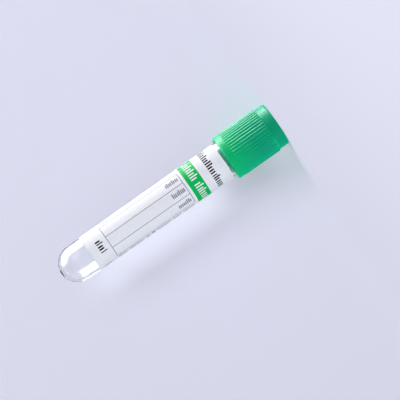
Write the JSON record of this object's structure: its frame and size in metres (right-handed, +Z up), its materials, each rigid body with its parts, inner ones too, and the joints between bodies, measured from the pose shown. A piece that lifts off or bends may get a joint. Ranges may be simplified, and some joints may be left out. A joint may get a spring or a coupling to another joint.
{
  "type": "blood collection tube",
  "caption": "Small clear plastic blood collection tube with a round bottom, a wrapped label and a ribbed green push-on cap that holds a rubber stopper, stood upside down on its cap.",
  "frame": {"origin": "on the floor that the cap's flat end stands on, on the tube's axis", "axes": "+Z up the tube's axis, from the cap to the round end; -Y is the front, where the label's printed side shows"},
  "size_m": [0.016, 0.016, 0.0854],
  "materials": {
    "clear_plastic": "clear, glossy",
    "label_film": "satin printed film",
    "green_plastic": "satin moulded plastic",
    "stopper_rubber": "matte rubber"
  },
  "bodies": {
    "closure": {"cap": "green_plastic", "stopper": "stopper_rubber"},
    "tube_body": {"tube": "clear_plastic", "label": "label_film"}
  },
  "joints": [
    {"name": "tube_pull", "type": "slide", "parent": "closure", "child": "tube_body", "axis": [0, 0, 1], "range_m": [0, 0.03]}
  ]
}
